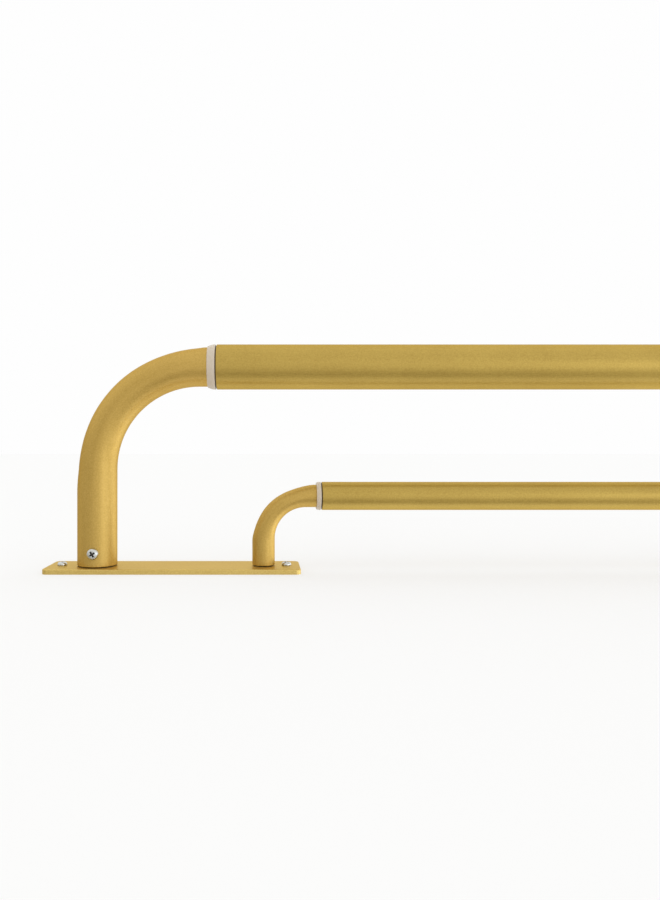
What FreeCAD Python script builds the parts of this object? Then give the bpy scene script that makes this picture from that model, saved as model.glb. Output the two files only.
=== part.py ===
import FreeCAD, Part

import os
import types

import Sketcher

# Double curtain pole of the wrap-around kind. Two telescopic poles lie one in front of the other.
# Each pole has a wide centre tube and two narrower end tubes that bend back to the wall.
# At each end both legs stand over short posts on one flat wall plate.
#
# Frame: +X along the poles, +Z out from the wall, the wall at Z = 0.
# The origin is the middle of the left plate's back. The poles are pushed in as far as they go.

SIZES = {
    # wall plate: its length comes from the legs and the screws beside them
    "plate_width": 30.0,
    "plate_thickness": 2.8,
    "plate_corner_radius": 3.0,
    "plate_edge_radius": 0.6,
    "wall_screw_inset": 7.5,
    "front_leg_to_screw": 8.8,
    "back_leg_to_screw": 6.65,
    "leg_spacing": 94.1,
    # legs and posts: the poles stand out by the post, the straight leg above it and the bend
    "closed_span": 689.0,
    "foot_gap": 0.4,
    "foot_radius": 0.35,
    "lock_height": 7.9,
    "post_above_lock": 6.1,
    "post_clearance": 0.3,
    "post_chamfer": 1.2,
    "front_leg_above_post": 40.5,
    "back_leg_above_post": 1.3,
    # front pole
    "front_end_outside": 22.2,
    "front_end_wall": 0.7,
    "front_centre_wall": 0.7,
    "front_bend_radius": 57.7,
    "front_bend_to_collar": 4.9,
    "front_bend_flattening": 1.8,
    "front_collar_lip": 5.1,
    "front_nose_drop": 0.65,
    "front_nose_length": 3.4,
    "front_sleeve_length": 18.0,
    # back pole
    "back_end_outside": 12.7,
    "back_end_wall": 0.7,
    "back_centre_wall": 0.7,
    "back_bend_radius": 23.9,
    "back_bend_to_collar": 5.9,
    "back_bend_flattening": 1.9,
    "back_collar_lip": 3.1,
    "back_nose_drop": 0.35,
    "back_nose_length": 1.6,
    "back_sleeve_length": 14.0,
    # a tube goes oval in its bend: where that starts on the leg and how close to the collar it ends,
    # and how much of what it loses in height it gains in width
    "front_oval_run_in": 12.0,
    "back_oval_above_post": 0.3,
    "oval_to_collar": 0.6,
    "oval_widening": 0.5,
    # collars and bushes between an end tube and its centre tube
    "sleeve_wall": 0.775,
    "sleeve_clearance": 0.05,
    "slide_clearance": 0.075,
    "collar_seam": 0.5,
    "collar_edge_radius": 0.3,
    "tube_lip_radius": 0.45,
    "middle_gap": 6.0,
    "bush_flange": 3.0,
    "bush_plug_length": 9.0,
    "bush_wall": 1.2,
    "bush_clearance": 0.05,
    # lock screws through the legs into the posts
    "lock_head": 6.4,
    "lock_head_height": 2.2,
    "lock_shank": 3.4,
    "front_lock_length": 8.0,
    "back_lock_length": 5.0,
    # countersunk screws from the back of the plate into the posts
    "post_screw_head": 7.4,
    "post_screw_shank": 3.8,
    "post_screw_sink": 0.2,
    "post_screw_to_lock": 1.8,
    # wall screws
    "wall_screw_head": 5.4,
    "wall_screw_head_height": 1.9,
    "wall_screw_neck": 3.4,
    "wall_screw_shank": 2.9,
    "wall_screw_length": 32.0,
    "wall_screw_point": 5.0,
    # screw holes, screw ends, and the cross recess in every head
    "screw_clearance": 0.05,
    "screw_tip_gap": 0.4,
    "screw_tip_chamfer": 0.5,
    "head_dome_share": 0.8,
    "recess_share": 0.56,
    "recess_slot_share": 0.16,
    "recess_depth": 1.2,
    # how far each screw's cross is turned, in degrees
    "outer_screw_turn": 18.0,
    "inner_screw_turn": 61.0,
    "front_lock_turn": 32.0,
    "back_lock_turn": 77.0,
    "post_screw_turn": 45.0,
}


class Dim:
    """A size as a number together with the sheet formula that gives it."""

    def __init__(self, number, formula):
        self.number = number
        self.formula = formula

    def __add__(self, other):
        other = dim(other)
        return Dim(self.number + other.number, f"({self.formula} + {other.formula})")

    def __sub__(self, other):
        other = dim(other)
        return Dim(self.number - other.number, f"({self.formula} - {other.formula})")

    def __mul__(self, other):
        other = dim(other)
        return Dim(self.number * other.number, f"({self.formula} * {other.formula})")

    def __truediv__(self, other):
        other = dim(other)
        return Dim(self.number / other.number, f"({self.formula} / {other.formula})")

    def __neg__(self):
        return Dim(-self.number, f"(0 - {self.formula})")


def dim(value):
    if isinstance(value, Dim):
        return value
    return Dim(float(value), repr(float(value)))


doc = FreeCAD.newDocument("double_curtain_pole")
sheet = doc.addObject("Spreadsheet::Sheet", "Sizes")
for row, (word, number) in enumerate(SIZES.items(), start=1):
    sheet.set(f"A{row}", word)
    sheet.set(f"B{row}", str(number))
    sheet.setAlias(f"B{row}", word)
doc.recompute()
size = types.SimpleNamespace(**{word: Dim(number, f"Sizes.{word}") for word, number in SIZES.items()})


# Sketch and feature helpers


def new_body(name):
    body = doc.addObject("PartDesign::Body", name)
    body.Label = name
    return body


def plane_of(body, role):
    for feature in body.Origin.OriginFeatures:
        if feature.Role == role:
            return feature
    raise ValueError(f"no plane {role}")


def new_sketch(body, name, role, lift=0):
    """A sketch on one of the body's origin planes, lifted along the plane's normal."""
    lift = dim(lift)
    sketch = body.newObject("Sketcher::SketchObject", f"{body.Name}_{name}")
    sketch.AttachmentSupport = [(plane_of(body, role), "")]
    sketch.MapMode = "FlatFace"
    sketch.AttachmentOffset = FreeCAD.Placement(FreeCAD.Vector(0, 0, lift.number), FreeCAD.Rotation())
    sketch.setExpression("AttachmentOffset.Base.z", lift.formula)
    return sketch


def bind(sketch, constraint, value):
    index = sketch.addConstraint(constraint)
    sketch.setExpression(f"Constraints[{index}]", value.formula)


def hold(sketch, line, end, at_x, at_y):
    """Holds one point of the sketch by its two distances from the sketch's origin."""
    for kind, axis, value in (("DistanceX", -2, dim(at_x)), ("DistanceY", -1, dim(at_y))):
        if value.number == 0.0:
            sketch.addConstraint(Sketcher.Constraint("PointOnObject", line, end, axis))
        else:
            bind(sketch, Sketcher.Constraint(kind, -1, 1, line, end, value.number), value)


def outline(sketch, corners):
    """A closed outline of straight lines through the corners."""
    points = [FreeCAD.Vector(dim(x).number, dim(y).number, 0) for x, y in corners]
    first = sketch.GeometryCount
    total = len(corners)
    for i in range(total):
        sketch.addGeometry(Part.LineSegment(points[i], points[(i + 1) % total]), False)
    for i in range(total):
        following = first + (i + 1) % total
        sketch.addConstraint(Sketcher.Constraint("Coincident", first + i, 2, following, 1))
    for i in range(total):
        hold(sketch, first + i, 1, corners[i][0], corners[i][1])


def circle(sketch, diameter, at_x=0, at_y=0):
    centre = FreeCAD.Vector(dim(at_x).number, dim(at_y).number, 0)
    round_edge = Part.Circle(centre, FreeCAD.Vector(0, 0, 1), diameter.number / 2)
    index = sketch.addGeometry(round_edge, False)
    hold(sketch, index, 3, at_x, at_y)
    bind(sketch, Sketcher.Constraint("Diameter", index, diameter.number), diameter)


def ring(sketch, outside, inside):
    circle(sketch, outside)
    circle(sketch, inside)


def pad(body, sketch, length):
    feature = body.newObject("PartDesign::Pad", f"{body.Name}_pad")
    feature.Profile = sketch
    feature.Length = length.number
    feature.setExpression("Length", length.formula)
    doc.recompute()
    return feature


def turned(body, corners):
    """A turned piece: the corners give half its section as radius and height."""
    sketch = new_sketch(body, "section", "XZ_Plane")
    outline(sketch, corners)
    feature = body.newObject("PartDesign::Revolution", f"{body.Name}_turned")
    feature.Profile = sketch
    feature.ReferenceAxis = (sketch, ["V_Axis"])
    feature.Angle = 360
    doc.recompute()
    return feature


def rounded(body, name, chosen, radius):
    """Rounds the edges of the body that the test chooses."""
    base = body.Tip
    edges = [f"Edge{i}" for i, edge in enumerate(base.Shape.Edges, start=1) if chosen(edge)]
    feature = body.newObject("PartDesign::Fillet", f"{body.Name}_{name}")
    feature.Base = (base, edges)
    feature.Radius = radius.number
    feature.setExpression("Radius", radius.formula)
    doc.recompute()
    return feature


def pocket(body, sketch, depth, reverse=False):
    """A pocket of one depth. It has to take something away."""
    before = body.Tip.Shape.Volume
    feature = body.newObject("PartDesign::Pocket", f"{body.Name}_{sketch.Name}_cut")
    feature.Profile = sketch
    feature.Length = depth.number
    feature.setExpression("Length", depth.formula)
    feature.Reversed = reverse
    doc.recompute()
    if not feature.Shape.Volume < before:
        raise ValueError(f"{feature.Name} cuts nothing")
    return feature


def is_circle(edge, radius, height):
    """True for a round edge of that radius that lies flat at that height."""
    if not isinstance(edge.Curve, Part.Circle):
        return False
    return abs(edge.Curve.Radius - radius.number) < 1e-3 and abs(edge.Curve.Center.z - height.number) < 1e-3


def cross_recess(body, head, top, turn):
    """The cross in a screw's head, cut from the head's top and turned as the screw ended up."""
    reach = head * size.recess_share / 2
    half = head * size.recess_slot_share / 2
    sketch = new_sketch(body, "cross", "XY_Plane", top)
    corners = [
        (reach, -half),
        (reach, half),
        (half, half),
        (half, reach),
        (-half, reach),
        (-half, half),
        (-reach, half),
        (-reach, -half),
        (-half, -half),
        (-half, -reach),
        (half, -reach),
        (half, -half),
    ]
    outline(sketch, corners)
    about_screw = FreeCAD.Rotation(FreeCAD.Vector(0, 0, 1), turn.number)
    sketch.AttachmentOffset = FreeCAD.Placement(sketch.AttachmentOffset.Base, about_screw)
    sketch.setExpression("AttachmentOffset.Rotation.Angle", f"{turn.formula} * 1 deg")
    pocket(body, sketch, size.recess_depth)


# Places: every piece is made about its own origin and then put where it belongs


UPRIGHT = FreeCAD.Rotation()
UPSIDE_DOWN = FreeCAD.Rotation(FreeCAD.Vector(1, 0, 0), 180)
TO_NEAR_SIDE = FreeCAD.Rotation(FreeCAD.Vector(1, 0, 0), 90)
TO_FAR_SIDE = FreeCAD.Rotation(FreeCAD.Vector(1, 0, 0), -90)
ALONG_POLE = FreeCAD.Rotation(FreeCAD.Vector(0, 1, 0), 90)
HALF_TURN = FreeCAD.Rotation(FreeCAD.Vector(0, 0, 1), 180)


def put(body, at_x, at_y, at_z, rotation=UPRIGHT):
    at_x, at_y, at_z = dim(at_x), dim(at_y), dim(at_z)
    body.Placement = FreeCAD.Placement(FreeCAD.Vector(at_x.number, at_y.number, at_z.number), rotation)
    body.setExpression("Placement.Base.x", at_x.formula)
    body.setExpression("Placement.Base.y", at_y.formula)
    body.setExpression("Placement.Base.z", at_z.formula)


front_inset = size.wall_screw_inset + size.front_leg_to_screw + size.front_end_outside / 2
back_inset = size.wall_screw_inset + size.back_leg_to_screw + size.back_end_outside / 2
plate_length = front_inset + size.leg_spacing + back_inset
front_leg = front_inset - plate_length / 2
back_leg = front_leg + size.leg_spacing
wall_screw = plate_length / 2 - size.wall_screw_inset
middle = front_leg + size.closed_span / 2
foot = size.plate_thickness + size.foot_gap
post_height = size.lock_height + size.post_above_lock
post_top = size.plate_thickness + post_height
lock_level = size.plate_thickness + size.lock_height
post_screw_reach = size.lock_height - size.lock_shank / 2 - size.post_screw_to_lock
post_screw_length = size.plate_thickness - size.post_screw_sink + post_screw_reach
sleeve_gap = size.slide_clearance + size.sleeve_wall + size.sleeve_clearance

# Each pole's oval: how much of its full flattening the tube has at each angle round the bend
FRONT = types.SimpleNamespace(
    name="front",
    leg=front_leg,
    projection=post_top + size.front_leg_above_post + size.front_bend_radius,
    centre_outside=size.front_end_outside + (sleeve_gap + size.front_centre_wall) * 2,
    centre_inside=size.front_end_outside + sleeve_gap * 2,
    end_outside=size.front_end_outside,
    end_inside=size.front_end_outside - size.front_end_wall * 2,
    bend=size.front_bend_radius,
    flattening=size.front_bend_flattening,
    oval=((0, 0.5), (10, 0.8), (20, 0.92), (30, 0.96), (40, 1), (50, 1), (60, 1), (70, 0.92),
          (80, 0.68), (90, 0.25)),
    run_in=size.front_oval_run_in,
    run_out=size.front_bend_to_collar - size.oval_to_collar,
    collar_reach=size.front_bend_radius + size.front_bend_to_collar,
    collar_lip=size.front_collar_lip,
    nose_drop=size.front_nose_drop,
    nose_length=size.front_nose_length,
    sleeve=size.front_sleeve_length,
    lock_length=size.front_lock_length,
    lock_turn=size.front_lock_turn,
    lock_side=-1,
)
BACK = types.SimpleNamespace(
    name="back",
    leg=back_leg,
    projection=post_top + size.back_leg_above_post + size.back_bend_radius,
    centre_outside=size.back_end_outside + (sleeve_gap + size.back_centre_wall) * 2,
    centre_inside=size.back_end_outside + sleeve_gap * 2,
    end_outside=size.back_end_outside,
    end_inside=size.back_end_outside - size.back_end_wall * 2,
    bend=size.back_bend_radius,
    flattening=size.back_bend_flattening,
    oval=((0, 0.04), (8, 0.38), (16, 0.62), (26, 0.78), (38, 0.88), (50, 0.95), (62, 1),
          (72, 0.96), (81, 0.75), (90, 0.35)),
    run_in=size.back_leg_above_post - size.back_oval_above_post,
    run_out=size.back_bend_to_collar - size.oval_to_collar,
    collar_reach=size.back_bend_radius + size.back_bend_to_collar,
    collar_lip=size.back_collar_lip,
    nose_drop=size.back_nose_drop,
    nose_length=size.back_nose_length,
    sleeve=size.back_sleeve_length,
    lock_length=size.back_lock_length,
    lock_turn=size.back_lock_turn,
    lock_side=1,
)


def put_at_end(body, end, local_x, local_y, at_z, rotation=UPRIGHT):
    """Puts a piece at the left end, or turned half round about the pole's middle at the right end."""
    if end == "left":
        put(body, local_x, local_y, at_z, rotation)
    else:
        put(body, middle * 2 - local_x, -dim(local_y), at_z, HALF_TURN.multiply(rotation))


def tube_end(pole):
    """How far along X the end tube's inner end lies from its own leg."""
    return middle - size.middle_gap / 2 - size.bush_flange - pole.leg


# Wall plate: flat bar with rounded corners, softened face edges and four holes


def wall_plate(end):
    body = new_body(f"{end}_wall_plate")
    half_length = plate_length / 2
    half_width = size.plate_width / 2
    sketch = new_sketch(body, "bar", "XY_Plane")
    corners = [(-half_length, -half_width), (half_length, -half_width)]
    corners += [(half_length, half_width), (-half_length, half_width)]
    outline(sketch, corners)
    pad(body, sketch, size.plate_thickness)
    rounded(body, "corners", is_upright_edge, size.plate_corner_radius)
    rounded(body, "face_edge", is_on_plate_top, size.plate_edge_radius)
    plain_holes(body)
    sunk_holes(body)
    put_at_end(body, end, 0, 0, 0)


def is_upright_edge(edge):
    first, last = edge.Vertexes[0].Point, edge.Vertexes[-1].Point
    return abs(first.z - last.z) > 1e-3


def is_on_plate_top(edge):
    top = size.plate_thickness.number
    return all(abs(vertex.Z - top) < 1e-3 for vertex in edge.Vertexes)


def hole_feature(body, sketch, diameter, reverse):
    doc.recompute()
    before = body.Tip.Shape.Volume
    hole = body.newObject("PartDesign::Hole", f"{sketch.Name}_holes")
    hole.Profile = sketch
    doc.recompute()
    hole.DepthType = "ThroughAll"
    hole.Reversed = reverse
    hole.Diameter = diameter.number
    hole.setExpression("Diameter", diameter.formula)
    doc.recompute()
    if not hole.Shape.Volume < before:
        raise ValueError(f"{hole.Name} cuts nothing")
    return hole


def plain_holes(body):
    """The two holes for the wall screws."""
    sketch = new_sketch(body, "wall_screw", "XY_Plane", size.plate_thickness)
    diameter = size.wall_screw_neck + size.screw_clearance * 2
    circle(sketch, diameter, -wall_screw)
    circle(sketch, diameter, wall_screw)
    hole_feature(body, sketch, diameter, False)


def sunk_holes(body):
    """The two countersunk holes from the back, under the posts."""
    sketch = new_sketch(body, "post_screw", "XY_Plane")
    diameter = size.post_screw_shank + size.screw_clearance * 2
    circle(sketch, diameter, front_leg)
    circle(sketch, diameter, back_leg)
    hole = hole_feature(body, sketch, diameter, True)
    mouth = size.post_screw_head + size.post_screw_sink * 2 + size.screw_clearance * 2
    hole.HoleCutType = "Countersink"
    hole.HoleCutCustomValues = True
    hole.HoleCutDiameter = mouth.number
    hole.HoleCutCountersinkAngle = 90
    hole.setExpression("HoleCutDiameter", mouth.formula)
    doc.recompute()


# Posts: turned plugs that the legs stand over, tapped from below and from the side


def post(end, pole):
    body = new_body(f"{end}_{pole.name}_post")
    radius = pole.end_inside / 2 - size.post_clearance
    bore = size.post_screw_shank / 2 + size.screw_clearance
    depth = post_screw_reach + size.screw_tip_gap
    corners = [
        (bore, 0),
        (radius, 0),
        (radius, post_height - size.post_chamfer),
        (radius - size.post_chamfer, post_height),
        (0, post_height),
        (0, depth),
        (bore, depth),
    ]
    turned(body, corners)
    inner_end = pole.end_outside / 2 - pole.lock_length - size.screw_tip_gap
    lock_hole(body, pole, end, size.lock_height, inner_end)
    put_at_end(body, end, pole.leg, 0, size.plate_thickness)


def lock_side(end, pole):
    """The side of the piece, before it is put in place, that the lock screw goes in."""
    return pole.lock_side if end == "left" else -pole.lock_side


def lock_hole(body, pole, end, height, inner_end):
    """The lock screw's hole, from its inner end out through the near or the far side."""
    side = lock_side(end, pole)
    lift = inner_end if side < 0 else -inner_end
    sketch = new_sketch(body, "lock_hole", "XZ_Plane", lift)
    circle(sketch, size.lock_shank + size.screw_clearance * 2, 0, height)
    pocket(body, sketch, pole.end_outside, side < 0)


# Bent end tubes


def end_tube(end, pole):
    """A straight leg, a bend whose outer side is drawn in, and a straight run along the pole."""
    body = new_body(f"{end}_{pole.name}_end_tube")
    bend_start = pole.projection - pole.bend
    leg = tube_section(body, "leg", pole, 0, foot - bend_start, 0)
    pad(body, leg, bend_start - pole.run_in - foot)
    first_share = pole.oval[0][1]
    last_share = pole.oval[-1][1]
    sections = [
        tube_section(body, "run_in", pole, 0, -pole.run_in, 0),
        tube_section(body, "half_run_in", pole, 0, -pole.run_in / 2, first_share / 3),
    ]
    for turn, share in pole.oval:
        sections.append(tube_section(body, f"at_{turn}", pole, turn, 0, share))
    sections.append(tube_section(body, "half_run_out", pole, 90, pole.run_out / 2, last_share / 4))
    sections.append(tube_section(body, "run_out", pole, 90, pole.run_out, 0))
    loft = body.newObject("PartDesign::AdditiveLoft", f"{body.Name}_bend")
    loft.Profile = sections[0]
    loft.Sections = sections[1:]
    doc.recompute()
    straight = tube_section(body, "straight", pole, 90, pole.run_out, 0)
    pad(body, straight, tube_end(pole) - pole.bend - pole.run_out)
    rounded(body, "foot", lambda edge: is_circle(edge, pole.end_outside / 2, foot), size.foot_radius)
    lock_hole(body, pole, end, lock_level, pole.end_inside / 2 - size.post_clearance)
    put_at_end(body, end, pole.leg, 0, 0)


def tube_section(body, name, pole, turn, past, share):
    """The tube's section at an angle round the bend, or that far past it along the straight run.

    The sketch lies about the bend's centre, with its x across the tube and its y out from the centre.
    """
    sketch = new_sketch(body, name, "XY_Plane")
    past = dim(past)
    if turn == 0:
        at_x, at_z = pole.bend, pole.projection - pole.bend + past
    else:
        at_x, at_z = pole.bend + past, pole.projection - pole.bend
    about_y = FreeCAD.Rotation(FreeCAD.Vector(0, 1, 0), turn)
    across = FreeCAD.Rotation(FreeCAD.Vector(0, 0, 1), 90)
    place = FreeCAD.Vector(at_x.number, 0, at_z.number)
    sketch.AttachmentOffset = FreeCAD.Placement(place, about_y.multiply(across))
    sketch.setExpression("AttachmentOffset.Base.x", at_x.formula)
    sketch.setExpression("AttachmentOffset.Base.z", at_z.formula)
    if share == 0:
        circle(sketch, pole.end_outside, 0, pole.bend)
        circle(sketch, pole.end_inside, 0, pole.bend)
        return sketch
    loss = pole.flattening * share
    gain = loss * size.oval_widening
    at_y = pole.bend - loss / 2
    oval(sketch, pole.end_outside + gain, pole.end_outside - loss, at_y)
    oval(sketch, pole.end_inside + gain, pole.end_inside - loss, at_y)
    return sketch


def oval(sketch, width, height, at_y):
    centre = FreeCAD.Vector(0, at_y.number, 0)
    across = FreeCAD.Vector(width.number / 2, at_y.number, 0)
    out = FreeCAD.Vector(0, at_y.number + height.number / 2, 0)
    index = sketch.addGeometry(Part.Ellipse(across, out, centre), False)
    sketch.exposeInternalGeometry(index)
    sketch.addConstraint(Sketcher.Constraint("Horizontal", index + 1))
    bind(sketch, Sketcher.Constraint("Distance", index + 1, width.number), width)
    bind(sketch, Sketcher.Constraint("Distance", index + 2, height.number), height)
    hold(sketch, index, 3, 0, at_y)


# Screws: made along their own axis, the head's underside at the origin


def pan_head(body, head, head_height, turn, shank_corners):
    corners = [(0, head_height), (head / 2, head_height), (head / 2, 0)] + shank_corners
    turned(body, corners)
    dome = head_height * size.head_dome_share
    rounded(body, "dome", lambda edge: is_circle(edge, head / 2, head_height), dome)
    cross_recess(body, head, head_height, turn)


def lock_screw(end, pole):
    body = new_body(f"{end}_{pole.name}_lock_screw")
    radius = size.lock_shank / 2
    tip = -pole.lock_length
    chamfer = size.screw_tip_chamfer
    shank = [(radius, 0), (radius, tip + chamfer), (radius - chamfer, tip), (0, tip)]
    pan_head(body, size.lock_head, size.lock_head_height, pole.lock_turn, shank)
    side = pole.end_outside / 2 * pole.lock_side
    if end == "left":
        turn = TO_NEAR_SIDE if pole.lock_side < 0 else TO_FAR_SIDE
    else:
        turn = TO_FAR_SIDE if pole.lock_side < 0 else TO_NEAR_SIDE
        side = -side
    put_at_end(body, end, pole.leg, side, lock_level, turn)


def wall_screw_piece(end, place):
    body = new_body(f"{end}_{place}_wall_screw")
    neck = size.wall_screw_neck / 2
    radius = size.wall_screw_shank / 2
    tip = -size.wall_screw_length
    shank = [
        (neck, 0),
        (neck, -size.plate_thickness),
        (radius, -size.plate_thickness),
        (radius, tip + size.wall_screw_point),
        (0, tip),
    ]
    turn = size.outer_screw_turn if place == "outer" else size.inner_screw_turn
    pan_head(body, size.wall_screw_head, size.wall_screw_head_height, turn, shank)
    along = -wall_screw if place == "outer" else wall_screw
    put_at_end(body, end, along, 0, size.plate_thickness)


def post_screw(end, pole):
    body = new_body(f"{end}_{pole.name}_post_screw")
    radius = size.post_screw_shank / 2
    head = size.post_screw_head / 2
    tip = -post_screw_length
    chamfer = size.screw_tip_chamfer
    corners = [(0, 0), (head, 0), (radius, radius - head)]
    corners += [(radius, tip + chamfer), (radius - chamfer, tip), (0, tip)]
    turned(body, corners)
    cross_recess(body, size.post_screw_head, dim(0), size.post_screw_turn)
    put_at_end(body, end, pole.leg, 0, size.post_screw_sink, UPSIDE_DOWN)


# Centre tubes, with a plastic collar at each mouth and a bush on each end tube


def centre_tube(pole):
    body = new_body(f"{pole.name}_centre_tube")
    sketch = new_sketch(body, "section", "YZ_Plane")
    ring(sketch, pole.centre_outside, pole.centre_inside)
    mouth = pole.leg + pole.collar_reach + pole.collar_lip
    pad(body, sketch, (middle - mouth) * 2)
    rounded(body, "lips", lambda edge: is_mouth(edge, pole), size.tube_lip_radius)
    put(body, mouth, 0, pole.projection)


def is_mouth(edge, pole):
    if not isinstance(edge.Curve, Part.Circle):
        return False
    return abs(edge.Curve.Radius - pole.centre_outside.number / 2) < 1e-3


def collar(end, pole):
    """Its nose stands out of the centre tube and its sleeve lines the tube's mouth."""
    body = new_body(f"{end}_{pole.name}_collar")
    bore = pole.end_outside / 2 + size.slide_clearance
    rim = pole.centre_outside / 2
    sleeve = pole.centre_inside / 2 - size.sleeve_clearance
    shoulder = pole.collar_lip - size.collar_seam
    corners = [
        (bore, 0),
        (rim - pole.nose_drop, 0),
        (rim, pole.nose_length),
        (rim, shoulder),
        (sleeve, shoulder),
        (sleeve, pole.collar_lip + pole.sleeve),
        (bore, pole.collar_lip + pole.sleeve),
    ]
    turned(body, corners)
    rounded(body, "nose", lambda edge: is_circle(edge, rim - pole.nose_drop, dim(0)), size.collar_edge_radius)
    put_at_end(body, end, pole.leg + pole.collar_reach, 0, pole.projection, ALONG_POLE)


def tail_bush(end, pole):
    """A plug in the end tube's inner end, with a flange that rides in the centre tube."""
    body = new_body(f"{end}_{pole.name}_tail_bush")
    flange = pole.centre_inside / 2 - size.slide_clearance
    plug = pole.end_inside / 2 - size.bush_clearance
    bore = plug - size.bush_wall
    corners = [
        (bore, -size.bush_plug_length),
        (plug, -size.bush_plug_length),
        (plug, 0),
        (flange, 0),
        (flange, size.bush_flange),
        (bore, size.bush_flange),
    ]
    turned(body, corners)
    put_at_end(body, end, pole.leg + tube_end(pole), 0, pole.projection, ALONG_POLE)


for end in ("left", "right"):
    wall_plate(end)
    wall_screw_piece(end, "outer")
    wall_screw_piece(end, "inner")
    for pole in (FRONT, BACK):
        post(end, pole)
        post_screw(end, pole)
        end_tube(end, pole)
        lock_screw(end, pole)
        tail_bush(end, pole)
        collar(end, pole)
for pole in (FRONT, BACK):
    centre_tube(pole)

doc.recompute()


# Every object has to be sound before anything is written


bodies = [thing for thing in doc.Objects if thing.TypeId == "PartDesign::Body"]
for thing in doc.Objects:
    if "Invalid" in thing.State or "Error" in thing.State:
        raise ValueError(f"{thing.Name} failed: {thing.State}")
for body in bodies:
    if body.Shape.isNull() or not body.Shape.isValid() or len(body.Shape.Solids) != 1:
        raise ValueError(f"{body.Label} is not one sound solid")

os.makedirs("parts", exist_ok=True)
for body in bodies:
    body.Shape.exportStep(f"parts/{body.Label}.step")
    print(f"{body.Label}: {body.Shape.Volume:.1f} mm3")
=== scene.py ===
import math

import bmesh
import bpy
from mathutils import Matrix, Vector


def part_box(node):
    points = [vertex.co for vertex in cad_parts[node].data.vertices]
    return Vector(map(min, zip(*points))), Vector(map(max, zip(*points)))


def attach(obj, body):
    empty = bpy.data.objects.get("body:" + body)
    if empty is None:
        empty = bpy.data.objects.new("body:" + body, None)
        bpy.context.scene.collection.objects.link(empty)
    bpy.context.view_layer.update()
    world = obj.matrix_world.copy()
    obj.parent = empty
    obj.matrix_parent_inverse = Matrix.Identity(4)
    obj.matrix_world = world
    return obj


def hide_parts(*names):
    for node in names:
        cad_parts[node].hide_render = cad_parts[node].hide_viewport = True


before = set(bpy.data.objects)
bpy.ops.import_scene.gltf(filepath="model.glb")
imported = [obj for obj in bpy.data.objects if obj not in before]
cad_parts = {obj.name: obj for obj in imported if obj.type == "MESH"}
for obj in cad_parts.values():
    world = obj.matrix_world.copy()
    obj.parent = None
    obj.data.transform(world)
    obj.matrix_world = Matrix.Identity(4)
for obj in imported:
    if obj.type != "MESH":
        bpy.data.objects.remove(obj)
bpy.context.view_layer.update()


# Wall plates. Each is a flat steel bar, cut to length and rounded at its corners and face edges. It has two
# plain holes for the wall screws and two holes sunk from behind for the screws that hold the posts. It is
# coated like the tubes: a satin brass-coloured lacquer with fine metal flake, baked on.

MM = 0.001
ENDS = ("left", "right")
POLES = ("front", "back")
PLATE_CORNER = 3.0 * MM
PLATE_EDGE = 0.6 * MM
CORNER_STEPS = 10
HOLE_STEPS = 40
WALL_HOLE_RADIUS = 1.75 * MM
POST_HOLE_RADIUS = 1.95 * MM
POST_HOLE_MOUTH = 3.95 * MM
CUT_SPARE = 1.0 * MM
TOP_REACH = 0.1 * MM
WELD_REACH = 0.001 * MM
SHARP_ANGLE = math.radians(32)

# The lacquer's darkest and lightest shade seen straight on, and its shade at a low angle. Each kind has its
# own: the plates' are the palest, painted light for the light that the floor throws on them, and the end
# tubes, from their own batch, are a little redder than the centre tubes.
LACQUER = {
    # The plates' paler shades are painted light, for the light thrown on their front faces from the floor
    "plate": ("#C5A75E", "#DDC378", "#E4CA88"),
    "end_tube": ("#B4934A", "#CDAC60", "#E6CA88"),
    "centre_tube": ("#AB8E47", "#C5A95A", "#E6CB86"),
}
# How rough the lacquer is, least and most. The end tubes come duller off the bending tools.
LACQUER_ROUGHNESS = {"plate": (0.35, 0.42), "end_tube": (0.42, 0.49), "centre_tube": (0.37, 0.46)}
# The lacquer's patterns. Real flakes and polishing lines are far finer, and wouldn't show from the camera.
FLAKE_SIZE = 0.8 * MM
FLAKE_HEIGHT = 0.0013 * MM
PEEL_SIZE = 2.6 * MM
PEEL_HEIGHT = 0.0012 * MM
CLOUD_SIZE = 28.0 * MM
CLOUD_SHARE = 0.4
POLISH_LINE_LENGTH = 18.0 * MM
POLISH_LINE_WIDTH = 0.45 * MM
POLISH_LINE_SHARE = 0.3
# The patterns' sum where the lacquer is darkest and where it is lightest
SHADE_LOW = 0.45
SHADE_HIGH = 1.25


def linear(colour):
    """An sRGB hex colour as the linear values that a shader takes."""
    channels = [int(colour[i : i + 2], 16) / 255 for i in (1, 3, 5)]
    return [c / 12.92 if c <= 0.04045 else ((c + 0.055) / 1.055) ** 2.4 for c in channels] + [1.0]


def add(tree, kind, inputs=None, **settings):
    """Adds a node with its settings, and links or sets its inputs."""
    node = tree.nodes.new(kind)
    for name, value in settings.items():
        setattr(node, name, value)
    for name, value in (inputs or {}).items():
        if isinstance(value, bpy.types.NodeSocket):
            tree.links.new(value, node.inputs[name])
        else:
            node.inputs[name].default_value = value
    return node


def new_material(name):
    """A material with an empty node tree, and that tree."""
    material = bpy.data.materials.new(name)
    material.use_nodes = True
    material.node_tree.nodes.clear()
    return material, material.node_tree


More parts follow.
